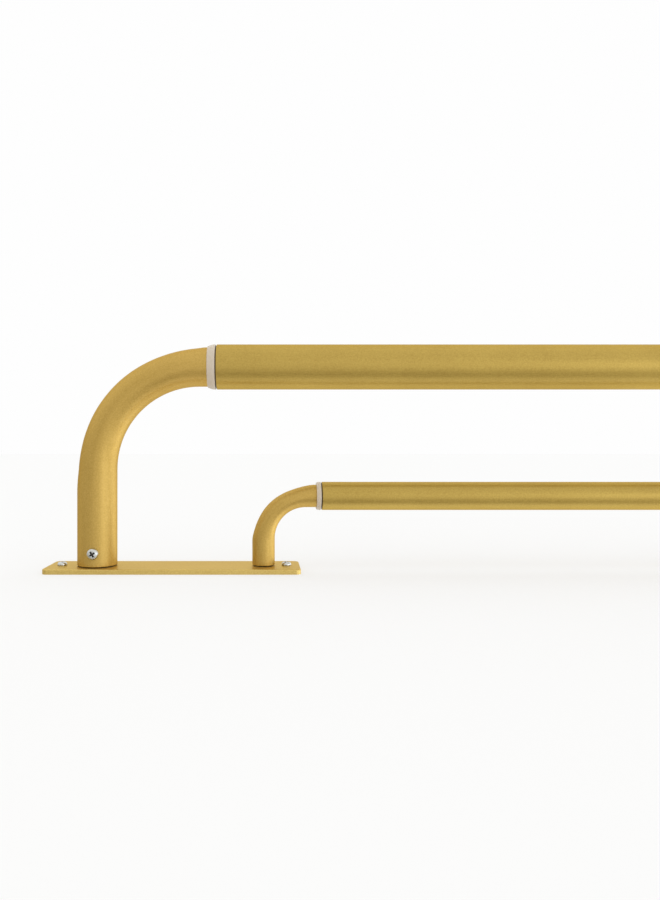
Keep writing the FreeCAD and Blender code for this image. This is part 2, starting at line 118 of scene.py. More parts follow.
def brass_lacquer(lacquer_kind):
    """Satin brass-coloured lacquer: flake in a clear coat over lengthwise polishing lines in the steel.

    To the eye it is a soft metal, brighter where it mirrors a light, with a grain of fine sparkle, and gold
    also at a low angle. The pattern follows the piece's own grain attribute, whose X runs along the piece.
    """
    material, tree = new_material(f"satin_brass_lacquer_{lacquer_kind}")
    darkest, lightest, low_angle = LACQUER[lacquer_kind]
    grain = add(tree, "ShaderNodeAttribute", attribute_name="grain").outputs["Vector"]
    flake = add(tree, "ShaderNodeTexNoise", {"Vector": grain, "Scale": 1 / FLAKE_SIZE, "Detail": 1.0})
    cloud = add(tree, "ShaderNodeTexNoise", {"Vector": grain, "Scale": 1 / CLOUD_SIZE, "Detail": 2.0})
    line_scale = (1 / POLISH_LINE_LENGTH, 1 / POLISH_LINE_WIDTH, 1 / POLISH_LINE_WIDTH)
    stretched = add(tree, "ShaderNodeMapping", {"Vector": grain, "Scale": line_scale})
    lines = add(tree, "ShaderNodeTexNoise", {"Vector": stretched.outputs[0], "Scale": 1.0, "Detail": 2.0})
    peel = add(tree, "ShaderNodeTexNoise", {"Vector": grain, "Scale": 1 / PEEL_SIZE, "Detail": 0.0})

    shades = {0: lines.outputs[0], 1: POLISH_LINE_SHARE, 2: flake.outputs[0]}
    flake_and_lines = add(tree, "ShaderNodeMath", shades, operation="MULTIPLY_ADD")
    shades = {0: cloud.outputs[0], 1: CLOUD_SHARE, 2: flake_and_lines.outputs[0]}
    shade = add(tree, "ShaderNodeMath", shades, operation="MULTIPLY_ADD")
    spread = {"Value": shade.outputs[0], "From Min": SHADE_LOW, "From Max": SHADE_HIGH}
    tone = add(tree, "ShaderNodeMapRange", spread)
    colours = {0: tone.outputs[0], 6: linear(darkest), 7: linear(lightest)}
    colour = add(tree, "ShaderNodeMix", colours, data_type="RGBA")
    smoothest, roughest = LACQUER_ROUGHNESS[lacquer_kind]
    spread.update({"To Min": smoothest, "To Max": roughest})
    roughness = add(tree, "ShaderNodeMapRange", spread)
    peel_bump = add(tree, "ShaderNodeBump", {"Height": peel.outputs[0], "Distance": PEEL_HEIGHT})
    flake_height = {"Height": flake.outputs[0], "Distance": FLAKE_HEIGHT, "Normal": peel_bump.outputs[0]}
    flake_bump = add(tree, "ShaderNodeBump", flake_height)
    finish = {
        "Base Color": colour.outputs[2],
        "Roughness": roughness.outputs[0],
        "Normal": flake_bump.outputs[0],
        "Metallic": 0.85,
        "Specular Tint": linear(low_angle),
        "Coat Weight": 0.15,
        "Coat Roughness": 0.15,
    }
    shader = add(tree, "ShaderNodeBsdfPrincipled", finish)
    add(tree, "ShaderNodeOutputMaterial", {"Surface": shader.outputs[0]})
    return material


def baked(piece):
    """Makes the piece's modifiers part of its mesh."""
    bpy.context.view_layer.update()
    graph = bpy.context.evaluated_depsgraph_get()
    mesh = bpy.data.meshes.new_from_object(piece.evaluated_get(graph), depsgraph=graph)
    piece.modifiers.clear()
    piece.data = mesh


def finished(piece):
    """Bakes the piece, with smooth shading between its sharp edges and flat faces kept flat."""
    baked(piece)
    for polygon in piece.data.polygons:
        polygon.use_smooth = True
    piece.data.set_sharp_from_angle(angle=SHARP_ANGLE)
    weighted = piece.modifiers.new("normals", "WEIGHTED_NORMAL")
    weighted.keep_sharp = True
    baked(piece)


def new_piece(name, data):
    """A new object at the origin, linked to the scene."""
    piece = bpy.data.objects.new(name, data)
    bpy.context.scene.collection.objects.link(piece)
    return piece


def rings_mesh(name, rings, closed=False):
    """Skins a row of rings of points. A closed row joins its last ring to its first, others are capped."""
    mesh = bmesh.new()
    rows = [[mesh.verts.new(point) for point in ring] for ring in rings]
    steps = len(rows[0])
    following = rows[1:] + rows[:1] if closed else rows[1:]
    for row, after in zip(rows, following):
        for i in range(steps):
            j = (i + 1) % steps
            mesh.faces.new((row[i], row[j], after[j], after[i]))
    if not closed:
        mesh.faces.new(rows[0])
        mesh.faces.new(rows[-1])
    bmesh.ops.recalc_face_normals(mesh, faces=mesh.faces)
    data = bpy.data.meshes.new(name)
    mesh.to_mesh(data)
    mesh.free()
    return data


def ring_at(radius, height, steps):
    """A ring of points about local Z."""
    angles = [2 * math.pi * i / steps for i in range(steps)]
    return [(radius * math.cos(a), radius * math.sin(a), height) for a in angles]


def turned_mesh(name, section, steps, closed=False):
    """A turned form about local Z, from half its section as radius and height."""
    return rings_mesh(name, [ring_at(radius, height, steps) for radius, height in section], closed)


def cut(piece, tools):
    """Takes the tools' forms out of the piece. The tools are used up."""
    for tool in tools:
        difference = piece.modifiers.new("cut", "BOOLEAN")
        difference.object = tool
        difference.solver = "EXACT"
    weld = piece.modifiers.new("weld", "WELD")
    weld.merge_threshold = WELD_REACH
    baked(piece)
    for tool in tools:
        bpy.data.objects.remove(tool)


def bar_outline(low, high, radius):
    """A rectangle with round corners, as points in order."""
    centres = [
        (high.x - radius, high.y - radius),
        (low.x + radius, high.y - radius),
        (low.x + radius, low.y + radius),
        (high.x - radius, low.y + radius),
    ]
    points = []
    for quarter, (x, y) in enumerate(centres):
        for step in range(CORNER_STEPS + 1):
            angle = math.pi / 2 * (quarter + step / CORNER_STEPS)
            points.append((x + radius * math.cos(angle), y + radius * math.sin(angle)))
    return points


def centre_of(node):
    """The middle of a node's box."""
    low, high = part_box(node)
    return (low + high) / 2


def hole_tools(end, low, high):
    """Tools for the plate's holes: two straight ones, and two with a cone at the wall side."""
    tools = []
    below, above = low.z - CUT_SPARE, high.z + CUT_SPARE
    straight = [(WALL_HOLE_RADIUS, below), (WALL_HOLE_RADIUS, above)]
    cone_depth = POST_HOLE_MOUTH - POST_HOLE_RADIUS
    sunk = [
        (POST_HOLE_MOUTH + CUT_SPARE, below),
        (POST_HOLE_RADIUS, low.z + cone_depth),
        (POST_HOLE_RADIUS, above),
    ]
    holes = [(f"{end}_{place}_wall_screw", straight) for place in ("outer", "inner")]
    holes += [(f"{end}_{pole}_post", sunk) for pole in POLES]
    for node, section in holes:
        centre = centre_of(node)
        tool = turned_mesh("hole", section, HOLE_STEPS)
        tool.transform(Matrix.Translation((centre.x, centre.y, 0)))
        tools.append(new_piece("hole_tool", tool))
    return tools


def soften_top(piece, height):
    """Rounds the edges round the plate's top face."""
    weights = piece.data.attributes.new("bevel_weight_edge", "FLOAT", "EDGE")
    for edge in piece.data.edges:
        ends = [piece.data.vertices[i].co.z for i in edge.vertices]
        weights.data[edge.index].value = float(min(ends) > height - TOP_REACH)
    bevel = piece.modifiers.new("edge", "BEVEL")
    bevel.limit_method = "WEIGHT"
    bevel.width = PLATE_EDGE
    bevel.segments = 4


def mark_points(mesh, name, kind, field, values):
    """Stores a value at each of the mesh's points, under a name."""
    mesh.attributes.new(name, kind, "POINT").data.foreach_set(field, values)


lacquers = {lacquer_kind: brass_lacquer(lacquer_kind) for lacquer_kind in LACQUER}

for end in ENDS:
    low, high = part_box(f"{end}_wall_plate")
    outline = bar_outline(low, high, PLATE_CORNER)
    rings = [[(x, y, z) for x, y in outline] for z in (low.z, high.z)]
    plate = new_piece(f"{end}_plate", rings_mesh("plate", rings))
    soften_top(plate, high.z)
    baked(plate)
    cut(plate, hole_tools(end, low, high))
    finished(plate)
    own_place = [part for vertex in plate.data.vertices for part in vertex.co]
    mark_points(plate.data, "grain", "FLOAT_VECTOR", "vector", own_place)
    plate.data.materials.clear()
    plate.data.materials.append(lacquers["plate"])
    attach(plate, f"{end}_end")
    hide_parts(f"{end}_wall_plate")


# Posts. Each is a short steel plug, turned to slip inside the leg's foot and tapped for its screws. It
# stands on the plate with one sunk screw up through the plate, and the leg's foot goes over it. They stay as
# the solids made them, and only their metal is added: near-black steel, painted shade for the gap under the
# foot.

# The posts' near-black metal, painted shade for the shadowed gap under the leg's foot
POST_SHADE_DARK = "#1E1D1D"
POST_SHADE_LIGHT = "#343333"
TURNING_PITCH = 2.2 * MM  # a lathe leaves far finer rings, which would be lost at the camera's distance
TURNING_HEIGHT = 0.004 * MM
WAVE_RADIANS = 20  # the wave texture's phase for each metre at scale 1
BLOTCH_SIZE = 2.0 * MM


def shade_black_steel():
    """Turned steel with fine rings round it from the lathe, dull and near black: painted shade for the gap
    under the foot.
    """
    material, tree = new_material("shade_black_steel")
    place = add(tree, "ShaderNodeTexCoord").outputs["Object"]
    ring_scale = 2 * math.pi / (WAVE_RADIANS * TURNING_PITCH)
    rings = {"Vector": place, "Scale": ring_scale, "Distortion": 0.4}
    rings = add(tree, "ShaderNodeTexWave", rings, wave_type="BANDS", bands_direction="Z")
    blotches = add(tree, "ShaderNodeTexNoise", {"Vector": place, "Scale": 1 / BLOTCH_SIZE, "Detail": 3.0})
    colours = {0: blotches.outputs[0], 6: linear(POST_SHADE_DARK), 7: linear(POST_SHADE_LIGHT)}
    colour = add(tree, "ShaderNodeMix", colours, data_type="RGBA")
    rough = {"Value": blotches.outputs[0], "To Min": 0.38, "To Max": 0.5}
    roughness = add(tree, "ShaderNodeMapRange", rough)
    bump = add(tree, "ShaderNodeBump", {"Height": rings.outputs[1], "Distance": TURNING_HEIGHT})
    finish = {
        "Base Color": colour.outputs[2],
        "Roughness": roughness.outputs[0],
        "Normal": bump.outputs[0],
        "Metallic": 1.0,
    }
    shader = add(tree, "ShaderNodeBsdfPrincipled", finish)
    add(tree, "ShaderNodeOutputMaterial", {"Surface": shader.outputs[0]})
    return material


shade_black = shade_black_steel()
for end in ENDS:
    for pole in POLES:
        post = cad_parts[f"{end}_{pole}_post"]
        for slot in post.material_slots:
            slot.material = shade_black


# End tubes. Each is one length of welded steel tube, bent a quarter turn on a machine, which draws in the
# bend's outer side and makes it oval. Its foot stands over a post, locked by one screw through a small hole,
# and its other end slides inside the centre tube. It is deburred and lacquered like the plates.

TUBE_SIDES = 112
END_RADIUS = {"front": 11.1 * MM, "back": 6.35 * MM}
BEND_STEPS = {"front": 60, "back": 44}
BEND_RADIUS = {"front": 57.7 * MM, "back": 23.9 * MM}
# Where the tube is oval: before the bend's start and past its end in mm, and between them in degrees, each
# with its share of the full flattening
OVAL_BEFORE = {"front": [(12.0, 0.0), (6.0, 0.167)], "back": [(1.0, 0.0), (0.5, 0.013)]}
OVAL_ROUND = {
    "front": [(0, 0.5), (10, 0.8), (20, 0.92), (30, 0.96), (40, 1), (60, 1)]
    + [(70, 0.92), (80, 0.68), (90, 0.25)],
    "back": [(0, 0.04), (8, 0.38), (16, 0.62), (26, 0.78), (38, 0.88), (50, 0.95), (62, 1)]
    + [(72, 0.96), (81, 0.75), (90, 0.35)],
}
OVAL_PAST = {"front": [(2.15, 0.06), (4.3, 0.0)], "back": [(2.65, 0.09), (5.3, 0.0)]}
FLATTENING = {"front": 1.8 * MM, "back": 1.9 * MM}
WIDENING = 0.5  # how much wider the tube grows across, as a share of what it loses in height
RUN_RINGS = 6
TUBE_WALL = 0.7 * MM
RIM_ROUND = 0.3 * MM
RIM_ANGLE = math.radians(60)
LOCK_HOLE_RADIUS = 1.75 * MM
LOCK_HEIGHT = 7.9 * MM
HOLE_BAND = 2.6 * MM  # from the lock hole's middle to the rings of the mesh above and below it
LOCK_SIDE = {"front": -1, "back": 1}


def tree_with_inputs(name, inputs, output):
    """A new geometry tree with its named inputs and one output, and the inputs' sockets."""
    tree = bpy.data.node_groups.new(name, "GeometryNodeTree")
    for title, kind in inputs.items():
        tree.interface.new_socket(title, in_out="INPUT", socket_type=f"NodeSocket{kind}")
    tree.interface.new_socket(output, in_out="OUTPUT", socket_type="NodeSocketGeometry")
    return tree, add(tree, "NodeGroupInput").outputs


def set_inputs(modifier, **values):
    """Sets a node modifier's inputs by their sockets' identifiers."""
    for item in modifier.node_group.interface.items_tree:
        if item.item_type == "SOCKET" and item.in_out == "INPUT" and item.name in values:
            modifier[item.identifier] = values[item.name]


def swept_tube_tree():
    """Rounds the route's corners by its bend attribute and sweeps a circle along it.

    The sweep stores the grain: X is the length along the tube, and Y and Z the place round it.
    """
    inputs = {"Route": "Geometry", "Radius": "Float", "Sides": "Int", "Steps": "Int", "Finish": "Material"}
    tree, given = tree_with_inputs("swept_tube", inputs, "Tube")
    curve = add(tree, "GeometryNodeMeshToCurve", {"Mesh": given["Route"]})
    bend = add(tree, "GeometryNodeInputNamedAttribute", {"Name": "bend"}, data_type="FLOAT")
    corners = {"Curve": curve.outputs[0], "Radius": bend.outputs["Attribute"], "Count": given["Steps"]}
    rounded = add(tree, "GeometryNodeFilletCurve", corners, mode="POLY")
    along = add(tree, "GeometryNodeSplineParameter").outputs["Length"]
    measured = {"Geometry": rounded.outputs[0], "Name": "along", "Value": along}
    path = add(tree, "GeometryNodeStoreNamedAttribute", measured, data_type="FLOAT")
    circle = {"Resolution": given["Sides"], "Radius": given["Radius"]}
    circle = add(tree, "GeometryNodeCurvePrimitiveCircle", circle)
    here = add(tree, "GeometryNodeInputPosition").outputs[0]
    measured = {"Geometry": circle.outputs[0], "Name": "around", "Value": here}
    section = add(tree, "GeometryNodeStoreNamedAttribute", measured, data_type="FLOAT_VECTOR")
    sweep = {"Curve": path.outputs[0], "Profile Curve": section.outputs[0]}
    sweep = add(tree, "GeometryNodeCurveToMesh", sweep)
    along = add(tree, "GeometryNodeInputNamedAttribute", {"Name": "along"}, data_type="FLOAT")
    around = add(tree, "GeometryNodeInputNamedAttribute", {"Name": "around"}, data_type="FLOAT_VECTOR")
    around = add(tree, "ShaderNodeSeparateXYZ", {0: around.outputs["Attribute"]})
    grain = {"X": along.outputs["Attribute"], "Y": around.outputs["X"], "Z": around.outputs["Y"]}
    grain = add(tree, "ShaderNodeCombineXYZ", grain)
    marked = {"Geometry": sweep.outputs[0], "Name": "grain", "Value": grain.outputs[0]}
    marked = add(tree, "GeometryNodeStoreNamedAttribute", marked, data_type="FLOAT_VECTOR")
    real = add(tree, "GeometryNodeRealizeInstances", {"Geometry": marked.outputs[0]})
    dressed = {"Geometry": real.outputs[0], "Material": given["Finish"]}
    dressed = add(tree, "GeometryNodeSetMaterial", dressed)
    add(tree, "NodeGroupOutput", {"Tube": dressed.outputs[0]})
    return tree


def route_mesh(points, bends):
    """A tube's centre line as straight edges, with the bend's radius stored at each point."""
    mesh = bpy.data.meshes.new("route")
    mesh.from_pydata(points, [(i, i + 1) for i in range(len(points) - 1)], [])
    mark_points(mesh, "bend", "FLOAT", "value", bends)
    return mesh


def swept(name, points, bends, radius, steps, lacquer):
    """Sweeps the tube's outer skin."""
    tube = new_piece(name, route_mesh(points, bends))
    sweep = tube.modifiers.new("sweep", "NODES")
    sweep.node_group = tube_tree
    set_inputs(sweep, Radius=radius, Sides=TUBE_SIDES, Steps=steps, Finish=lacquer)
    baked(tube)
    return tube


def give_wall(tube, rim):
    """Gives the skin the tube's wall and rounds its rims."""
    wall = tube.modifiers.new("wall", "SOLIDIFY")
    wall.thickness = TUBE_WALL
    wall.offset = -1.0
    wall.use_even_offset = True
    bevel = tube.modifiers.new("rims", "BEVEL")
    bevel.limit_method = "ANGLE"
    bevel.angle_limit = RIM_ANGLE
    bevel.width = rim
    bevel.segments = 3
    baked(tube)


def oval_stops(pole):
    """The oval's shares by the length along the centre line from the bend's start."""
    radius = BEND_RADIUS[pole]
    stops = [(-before * MM, share) for before, share in OVAL_BEFORE[pole]]
    stops += [(radius * math.radians(turn), share) for turn, share in OVAL_ROUND[pole]]
    return stops + [(radius * math.pi / 2 + past * MM, share) for past, share in OVAL_PAST[pole]]


def share_at(stops, along):
    """The share at a length, on a smooth curve through the stops that nowhere swings past them."""
    if not stops[0][0] < along < stops[-1][0]:
        return 0.0
    slopes = [(b[1] - a[1]) / (b[0] - a[0]) for a, b in zip(stops, stops[1:])]
    leans = [0.0] + [2 * m * n / (m + n) if m * n > 0 else 0.0 for m, n in zip(slopes, slopes[1:])] + [0.0]
    i = max(i for i in range(len(slopes)) if stops[i][0] <= along)
    (start, low), (stop, high) = stops[i], stops[i + 1]
    length = stop - start
    t = (along - start) / length
    low_part = (2 * t + 1) * (1 - t) ** 2 * low + t * (1 - t) ** 2 * length * leans[i]
    return low_part + t * t * (3 - 2 * t) * high + t * t * (t - 1) * length * leans[i + 1]


def draw_in_bend(tube, pole, centre, inwards):
    """Makes the skin oval: its outer side comes in, the inner side stays, and it widens across."""
    radius, bend = END_RADIUS[pole], BEND_RADIUS[pole]
    stops = oval_stops(pole)
    for vertex in tube.data.vertices:
        back, up = (centre.x - vertex.co.x) * inwards, vertex.co.z - centre.z
        if up < 0:
            along, out = up, Vector((-inwards, 0, 0))
        elif back < 0:
            along, out = bend * math.pi / 2 - back, Vector((0, 0, 1))
        else:
            along, out = bend * math.atan2(up, back), Vector((-inwards * back, 0, up)).normalized()
        loss = FLATTENING[pole] * share_at(stops, along)
        height = (vertex.co - centre).dot(out) - bend + radius
        vertex.co.y *= 1 + loss * WIDENING / (2 * radius)
        vertex.co -= out * loss * height / (2 * radius)


def lock_hole_tool(leg_x, height, side, reach):
    """A pin across the leg's wall, on the side that the lock screw goes in."""
    pin = turned_mesh("hole", [(LOCK_HOLE_RADIUS, reach / 2), (LOCK_HOLE_RADIUS, reach * 1.5)], HOLE_STEPS)
    pin.transform(Matrix.Rotation(-side * math.pi / 2, 4, "X"))
    pin.transform(Matrix.Translation((leg_x, 0, height)))
    return new_piece("hole_tool", pin)


tube_tree = swept_tube_tree()

for end in ENDS:
    for pole in POLES:
        node = f"{end}_{pole}_end_tube"
        low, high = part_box(node)
        radius = END_RADIUS[pole]
        leg_x = centre_of(f"{end}_{pole}_post").x
        inwards = 1 if end == "left" else -1
        inner_x = high.x if end == "left" else low.x
        axis_z = high.z - radius
        centre = Vector((leg_x + inwards * BEND_RADIUS[pole], 0, axis_z - BEND_RADIUS[pole]))
        lock_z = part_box(f"{end}_wall_plate")[1].z + LOCK_HEIGHT
        before, past = OVAL_BEFORE[pole][0][0] * MM, OVAL_PAST[pole][-1][0] * MM
        route = [(leg_x, 0, low.z), (leg_x, 0, lock_z - HOLE_BAND), (leg_x, 0, lock_z + HOLE_BAND)]
        route += [(leg_x, 0, centre.z - before * (1 - i / RUN_RINGS)) for i in range(RUN_RINGS)]
        route += [(leg_x, 0, axis_z)]
        route += [(centre.x + inwards * past * i / RUN_RINGS, 0, axis_z) for i in range(1, RUN_RINGS + 1)]
        route += [(inner_x, 0, axis_z)]
        bends = [BEND_RADIUS[pole] if point == (leg_x, 0, axis_z) else 0 for point in route]
        name, lacquer = f"{end}_{pole}_bent_tube", lacquers["end_tube"]
        tube = swept(name, route, bends, radius, BEND_STEPS[pole], lacquer)
        draw_in_bend(tube, pole, centre, inwards)
        give_wall(tube, RIM_ROUND)
        cut(tube, [lock_hole_tool(leg_x, lock_z, LOCK_SIDE[pole], radius)])
        finished(tube)
        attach(tube, f"{end}_end")
        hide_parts(node)


# Screws. All are zinc-plated steel with a rolled thread and a cross recess. Two pan-head wood screws hold
# each plate to the wall, one pan-head screw locks each leg to its post, and one countersunk screw behind the
# plate holds each post. The crosses of the screws that show at one end stop at different turns.

SCREW_STEPS = 48
DOME_STEPS = 8
ROWS_PER_PITCH = 8
# The dome's radius and the rim's chamfer, as shares of the head's rise
DOME_SHARE = 0.8
CHAMFER_IN = 0.1
CHAMFER_UP = 0.08
# Where a ring parts the head's flat top, as a share of its radius
PAN_CROWN_SHARE = 0.6
FLAT_CROWN_SHARE = 0.5
# Half of a thread ridge's foot, as a share of the pitch
RIDGE_SHARE = 0.32
# The cross narrows downwards. Its reach and its slots' width above the head and at its floor, as shares of
# those at the head's top
RECESS_DEPTH = 1.2 * MM
CROSS_ABOVE = (1.45, 1.3)
CROSS_FLOOR = (0.5, 0.7)
# A vertex is in the cross if it lies no deeper than the floor and on none of the turned rings. The cross's
# painted shade is at its darkest from half its depth.
RECESS_SLACK = 1.01
RADIUS_DIGITS = 7
RECESS_DARKENING = 2.0

# Each kind's sizes in mm, and the cross's reach and its slots' width as shares of the head's width
WALL_SCREW = {
    "head": 5.4,
    "rise": 1.9,
    "cross_share": 0.72,
    "slot_share": 0.2,
    "neck": 3.4,
    "neck_length": 2.8,
    "crest": 2.9,
    "root": 2.1,
    "pitch": 1.35,
    "length": 32.0,
    "point": 5.0,
    "point_radius": 0.1,
}
LOCK_SCREW = {
    "head": 6.4,
    "rise": 2.2,
    "cross_share": 0.56,
    "slot_share": 0.16,
    "neck": 3.4,
    "neck_length": 0.8,
    "crest": 3.4,
    "root": 2.7,
    "pitch": 0.7,
    "length": 8.0,
    "point": 0.5,
    "point_radius": 1.2,
}
POST_SCREW = {
    "head": 7.4,
    "rise": 0.0,
    "cross_share": 0.56,
    "slot_share": 0.16,
    "neck": 3.8,
    "neck_length": 2.4,
    "crest": 3.8,
    "root": 3.1,
    "pitch": 0.8,
    "length": 7.0,
    "point": 0.5,
    "point_radius": 1.4,
}
SCREWS = {
    "wall": WALL_SCREW,
    "front_lock": LOCK_SCREW,
    "back_lock": {**LOCK_SCREW, "length": 5.0},
    "post": POST_SCREW,
}

ZINC_PLATE_DARK = "#B7BABD"
ZINC_PLATE_LIGHT = "#DDDFE1"
# The cross's painted shade, for the shadow that falls in the recess
RECESS_PAINTED_SHADE = "#454240"
PLATING_GRAIN = 0.5 * MM
PLATING_HEIGHT = 0.003 * MM


def zinc_plated_steel():
    """Bright zinc plating over steel: a clear silver shine, with faint mottling left by the bath.

    Inside the cross it is painted nearly black, as painted shade for the shadow that falls in the recess.
    The recess attribute marks how deep a place lies in the cross.
    """
    material, tree = new_material("zinc_plated_steel")
    place = add(tree, "ShaderNodeTexCoord").outputs["Object"]
    mottle = add(tree, "ShaderNodeTexNoise", {"Vector": place, "Scale": 1 / PLATING_GRAIN, "Detail": 3.0})
    colours = {0: mottle.outputs[0], 6: linear(ZINC_PLATE_DARK), 7: linear(ZINC_PLATE_LIGHT)}
    colour = add(tree, "ShaderNodeMix", colours, data_type="RGBA")
    recess = add(tree, "ShaderNodeAttribute", attribute_name="recess").outputs["Fac"]
    colours = {0: recess, 6: colour.outputs[2], 7: linear(RECESS_PAINTED_SHADE)}
    colour = add(tree, "ShaderNodeMix", colours, data_type="RGBA")
    rough = {"Value": mottle.outputs[0], "To Min": 0.22, "To Max": 0.36}
    roughness = add(tree, "ShaderNodeMapRange", rough)
    bump = add(tree, "ShaderNodeBump", {"Height": mottle.outputs[0], "Distance": PLATING_HEIGHT})
    finish = {
        "Base Color": colour.outputs[2],
        "Roughness": roughness.outputs[0],
        "Normal": bump.outputs[0],
        "Metallic": 1.0,
    }
    shader = add(tree, "ShaderNodeBsdfPrincipled", finish)
    add(tree, "ShaderNodeOutputMaterial", {"Surface": shader.outputs[0]})
    return material


def head_section(sizes):
    """The head's half section, from its crown to its underside, and down to the neck's end."""
    head, rise, neck = sizes["head"] / 2 * MM, sizes["rise"] * MM, sizes["neck"] / 2 * MM
    neck_end = -sizes["neck_length"] * MM
    if rise == 0.0:
        return [(head * FLAT_CROWN_SHARE, 0), (head, 0), (neck, neck - head), (neck, neck_end)]
    dome = rise * DOME_SHARE
    section = [((head - dome) * PAN_CROWN_SHARE, rise)]
    for step in range(DOME_STEPS + 1):
        angle = math.pi / 2 * step / DOME_STEPS
        section.append((head - dome + dome * math.sin(angle), rise - dome + dome * math.cos(angle)))
    rim = [(head, CHAMFER_UP * rise), (head - CHAMFER_IN * rise, 0)]
    return section + rim + [(neck, 0), (neck, neck_end)]


def thread_rings(sizes):
    """Rings down the thread. Each ring's radius rises and falls once a turn, a little lower each time."""
    crest, root, pitch = sizes["crest"] / 2 * MM, sizes["root"] / 2 * MM, sizes["pitch"] * MM
    top, tip = -sizes["neck_length"] * MM, -sizes["length"] * MM
    taper_from = tip + sizes["point"] * MM
    end_radius = sizes["point_radius"] * MM
    count = math.ceil((top - tip) / pitch * ROWS_PER_PITCH)
    rings = []
    for row in range(1, count + 1):
        height = top + (tip - top) * row / count
        narrowed = min(1.0, (height - tip) / (taper_from - tip))
        ring = []
        for step in range(SCREW_STEPS):
            angle = 2 * math.pi * step / SCREW_STEPS
            phase = (height / pitch - step / SCREW_STEPS) % 1.0
            ridge = max(0.0, 1.0 - abs(phase - 0.5) / RIDGE_SHARE)
            full = root + (crest - root) * ridge * min(1.0, row / ROWS_PER_PITCH)
            radius = end_radius + (full - end_radius) * narrowed
            ring.append((radius * math.cos(angle), radius * math.sin(angle), height))
        rings.append(ring)
    return rings


def cross_tool(sizes):
    """A cross that narrows downwards, for the recess in a head."""
    head, top = sizes["head"] * MM, sizes["rise"] * MM
    reach, half = head * sizes["cross_share"] / 2, head * sizes["slot_share"] / 2
    rings = []
    levels = ((top + RECESS_DEPTH, *CROSS_ABOVE), (top - RECESS_DEPTH, *CROSS_FLOOR))
    for height, reach_share, half_share in levels:
        ring = []
        for quarter in range(4):
            turn = Matrix.Rotation(math.pi / 2 * quarter, 2)
            far, near = reach * reach_share, half * half_share
            for corner in ((far, -near), (far, near), (near, near)):
                place = turn @ Vector(corner)
                ring.append((place.x, place.y, height))
        rings.append(ring)
    return new_piece("cross_tool", rings_mesh("cross", rings))


def screw(kind):
    """One screw about local Z, its head's seat at the origin and its shank going down."""
    sizes = SCREWS[kind]
    section = head_section(sizes)
    rings = [ring_at(radius, height, SCREW_STEPS) for radius, height in section]
    piece = new_piece(f"{kind}_screw", rings_mesh("screw", rings + thread_rings(sizes)))
    cut(piece, [cross_tool(sizes)])
    turned_radii = {round(radius, RADIUS_DIGITS) for radius, height in section}
    # How deep each place lies in the cross, for the painted shade there
    depths = []
    for vertex in piece.data.vertices:
        depth = sizes["rise"] * MM - vertex.co.z
        turned = round(vertex.co.xy.length, RADIUS_DIGITS) in turned_radii
        inside = depth < RECESS_DEPTH * RECESS_SLACK and not turned
        depths.append(min(1.0, RECESS_DARKENING * depth / RECESS_DEPTH) if inside else 0.0)
    mark_points(piece.data, "recess", "FLOAT", "value", depths)
    piece.data.materials.clear()
    piece.data.materials.append(plated)
    return piece


def placed_screws_tree():
    """Puts one screw at each point, its axis along the point's facing, turned by the point's turn."""
    inputs = {"Places": "Geometry", "Screw": "Object", "Finish": "Material"}
    tree, given = tree_with_inputs("placed_screws", inputs, "Screws")
    facing = add(tree, "GeometryNodeInputNamedAttribute", {"Name": "facing"}, data_type="FLOAT_VECTOR")
    turn = add(tree, "GeometryNodeInputNamedAttribute", {"Name": "turn"}, data_type="FLOAT")
    aligned = {"Vector": facing.outputs["Attribute"]}
    aligned = add(tree, "FunctionNodeAlignRotationToVector", aligned, axis="Z")
    about = {"Axis": (0.0, 0.0, 1.0), "Angle": turn.outputs["Attribute"]}
    about = add(tree, "FunctionNodeAxisAngleToRotation", about)
    rotation = {"Rotation": aligned.outputs[0], "Rotate By": about.outputs[0]}
    rotation = add(tree, "FunctionNodeRotateRotation", rotation, rotation_space="LOCAL")
    source = add(tree, "GeometryNodeObjectInfo", {"Object": given["Screw"]})
    copies = {
        "Points": given["Places"],
        "Instance": source.outputs["Geometry"],
        "Rotation": rotation.outputs[0],
    }
    copies = add(tree, "GeometryNodeInstanceOnPoints", copies)
    real = add(tree, "GeometryNodeRealizeInstances", {"Geometry": copies.outputs[0]})
    dressed = {"Geometry": real.outputs[0], "Material": given["Finish"]}
    dressed = add(tree, "GeometryNodeSetMaterial", dressed)
    add(tree, "NodeGroupOutput", {"Screws": dressed.outputs[0]})
    return tree


def set_screws(name, body, source, places, nodes):
    """Sets copies of a screw at the places, each a point, a facing and a turn in degrees."""
    mesh = bpy.data.meshes.new("places")
    mesh.from_pydata([point for point, facing, turn in places], [], [])
    facings = [part for point, facing, turn in places for part in facing]
    mark_points(mesh, "facing", "FLOAT_VECTOR", "vector", facings)
    mark_points(mesh, "turn", "FLOAT", "value", [math.radians(turn) for point, facing, turn in places])
    piece = new_piece(name, mesh)
    copies = piece.modifiers.new("copies", "NODES")
    copies.node_group = screw_tree
    set_inputs(copies, Screw=source, Finish=plated)
    finished(piece)
    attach(piece, body)
    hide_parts(*nodes)


plated = zinc_plated_steel()
screw_tree = placed_screws_tree()
sources = {kind: screw(kind) for kind in SCREWS}

WALL_TURN = {"outer": 18, "inner": 61}
LOCK_TURN = {"front": 32, "back": 77}
POST_TURN = 45
OUT, IN = Vector((0, 0, 1)), Vector((0, 0, -1))

